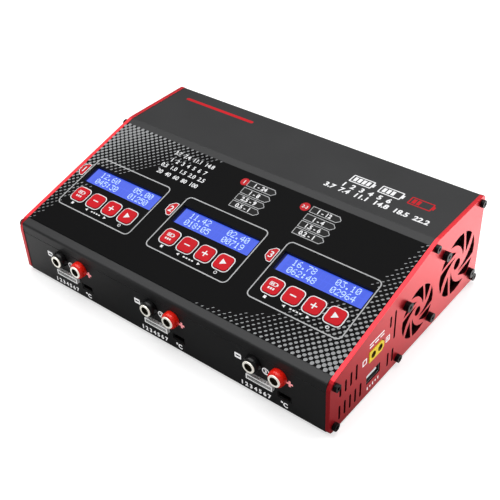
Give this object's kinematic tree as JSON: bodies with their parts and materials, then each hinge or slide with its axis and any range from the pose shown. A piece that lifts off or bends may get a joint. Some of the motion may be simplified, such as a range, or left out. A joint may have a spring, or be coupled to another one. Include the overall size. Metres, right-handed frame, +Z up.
{
  "type": "balance battery charger",
  "caption": "Bench battery charger with a sloping face of displays and keys, front charge sockets, balance headers, end plates with fans, and inlets at the ends.",
  "frame": {"origin": "centre of the bounding box, on the plane the feet stand on", "axes": "+X along the case to its right end plate with the fans, +Y to the back, +Z up; the jacks face -Y"},
  "size_m": [0.271, 0.1832, 0.0726],
  "materials": {
    "shell": "satin dark grey powder coat on extruded aluminium",
    "plate": "red anodised satin aluminium",
    "label": "printed black polycarbonate film",
    "key": "red moulded keys",
    "display": "blue backlit display module",
    "board": "green circuit board",
    "black_plastic": "black moulded plastic",
    "red_plastic": "bright red moulded plastic",
    "white_plastic": "off-white moulded header",
    "yellow_plastic": "yellow moulded nylon",
    "steel": "tinned steel shell",
    "black_steel": "black oxide screws",
    "rubber": "black rubber feet",
    "core": "ferrite core with taped winding"
  },
  "bodies": {
    "case": {"top_cover": "shell", "base_tray": "shell", "right_end_plate": "plate", "left_end_plate": "plate", "face_label": "label", "control_board": "board", "display_1": "display", "jack_sleeve_black_1": "black_plastic", "jack_sleeve_red_1": "red_plastic", "balance_socket_1": "white_plastic", "display_2": "display", "jack_sleeve_black_2": "black_plastic", "jack_sleeve_red_2": "red_plastic", "balance_socket_2": "white_plastic", "display_3": "display", "jack_sleeve_black_3": "black_plastic", "jack_sleeve_red_3": "red_plastic", "balance_socket_3": "white_plastic", "charge_board": "board", "power_board": "board", "transformer": "core", "dc_inlet": "yellow_plastic", "usb_port": "steel", "mains_inlet": "black_plastic", "fan_frame_small": "black_plastic", "fan_screw_small_1": "black_steel", "fan_screw_small_2": "black_steel", "fan_frame_large": "black_plastic", "fan_screw_large_1": "black_steel", "fan_screw_large_2": "black_steel", "plate_screw_right_1": "black_steel", "plate_screw_right_2": "black_steel", "plate_screw_right_3": "black_steel", "plate_screw_right_4": "black_steel", "plate_screw_right_5": "black_steel", "plate_screw_right_6": "black_steel", "plate_screw_left_1": "black_steel", "plate_screw_left_2": "black_steel", "plate_screw_left_3": "black_steel", "plate_screw_left_4": "black_steel", "plate_screw_left_5": "black_steel", "plate_screw_left_6": "black_steel", "foot_front_left": "rubber", "foot_front_right": "rubber", "foot_back_left": "rubber", "foot_back_right": "rubber"},
    "key_mode_1": {"key_mode_1": "key"},
    "key_down_1": {"key_down_1": "key"},
    "key_up_1": {"key_up_1": "key"},
    "key_start_1": {"key_start_1": "key"},
    "key_mode_2": {"key_mode_2": "key"},
    "key_down_2": {"key_down_2": "key"},
    "key_up_2": {"key_up_2": "key"},
    "key_start_2": {"key_start_2": "key"},
    "key_mode_3": {"key_mode_3": "key"},
    "key_down_3": {"key_down_3": "key"},
    "key_up_3": {"key_up_3": "key"},
    "key_start_3": {"key_start_3": "key"},
    "fan_rotor_small": {"fan_rotor_small": "black_plastic"},
    "fan_rotor_large": {"fan_rotor_large": "black_plastic"}
  },
  "joints": [
    {"name": "key_mode_1_press", "type": "slide", "parent": "case", "child": "key_mode_1", "axis": [0, 0.2468, -0.9691], "range_m": [0, 0.0004], "stiffness_N_per_m": 400},
    {"name": "key_down_1_press", "type": "slide", "parent": "case", "child": "key_down_1", "axis": [0, 0.2468, -0.9691], "range_m": [0, 0.0004], "stiffness_N_per_m": 400},
    {"name": "key_up_1_press", "type": "slide", "parent": "case", "child": "key_up_1", "axis": [0, 0.2468, -0.9691], "range_m": [0, 0.0004], "stiffness_N_per_m": 400},
    {"name": "key_start_1_press", "type": "slide", "parent": "case", "child": "key_start_1", "axis": [0, 0.2468, -0.9691], "range_m": [0, 0.0004], "stiffness_N_per_m": 400},
    {"name": "key_mode_2_press", "type": "slide", "parent": "case", "child": "key_mode_2", "axis": [0, 0.2468, -0.9691], "range_m": [0, 0.0004], "stiffness_N_per_m": 400},
    {"name": "key_down_2_press", "type": "slide", "parent": "case", "child": "key_down_2", "axis": [0, 0.2468, -0.9691], "range_m": [0, 0.0004], "stiffness_N_per_m": 400},
    {"name": "key_up_2_press", "type": "slide", "parent": "case", "child": "key_up_2", "axis": [0, 0.2468, -0.9691], "range_m": [0, 0.0004], "stiffness_N_per_m": 400},
    {"name": "key_start_2_press", "type": "slide", "parent": "case", "child": "key_start_2", "axis": [0, 0.2468, -0.9691], "range_m": [0, 0.0004], "stiffness_N_per_m": 400},
    {"name": "key_mode_3_press", "type": "slide", "parent": "case", "child": "key_mode_3", "axis": [0, 0.2468, -0.9691], "range_m": [0, 0.0004], "stiffness_N_per_m": 400},
    {"name": "key_down_3_press", "type": "slide", "parent": "case", "child": "key_down_3", "axis": [0, 0.2468, -0.9691], "range_m": [0, 0.0004], "stiffness_N_per_m": 400},
    {"name": "key_up_3_press", "type": "slide", "parent": "case", "child": "key_up_3", "axis": [0, 0.2468, -0.9691], "range_m": [0, 0.0004], "stiffness_N_per_m": 400},
    {"name": "key_start_3_press", "type": "slide", "parent": "case", "child": "key_start_3", "axis": [0, 0.2468, -0.9691], "range_m": [0, 0.0004], "stiffness_N_per_m": 400},
    {"name": "fan_small_spin", "type": "hinge", "parent": "case", "child": "fan_rotor_small", "pos_m": [0.12355, 0.01055, 0.0289], "axis": [1, 0, 0], "continuous": true},
    {"name": "fan_large_spin", "type": "hinge", "parent": "case", "child": "fan_rotor_large", "pos_m": [0.12155, 0.06055, 0.0341], "axis": [1, 0, 0], "continuous": true}
  ]
}
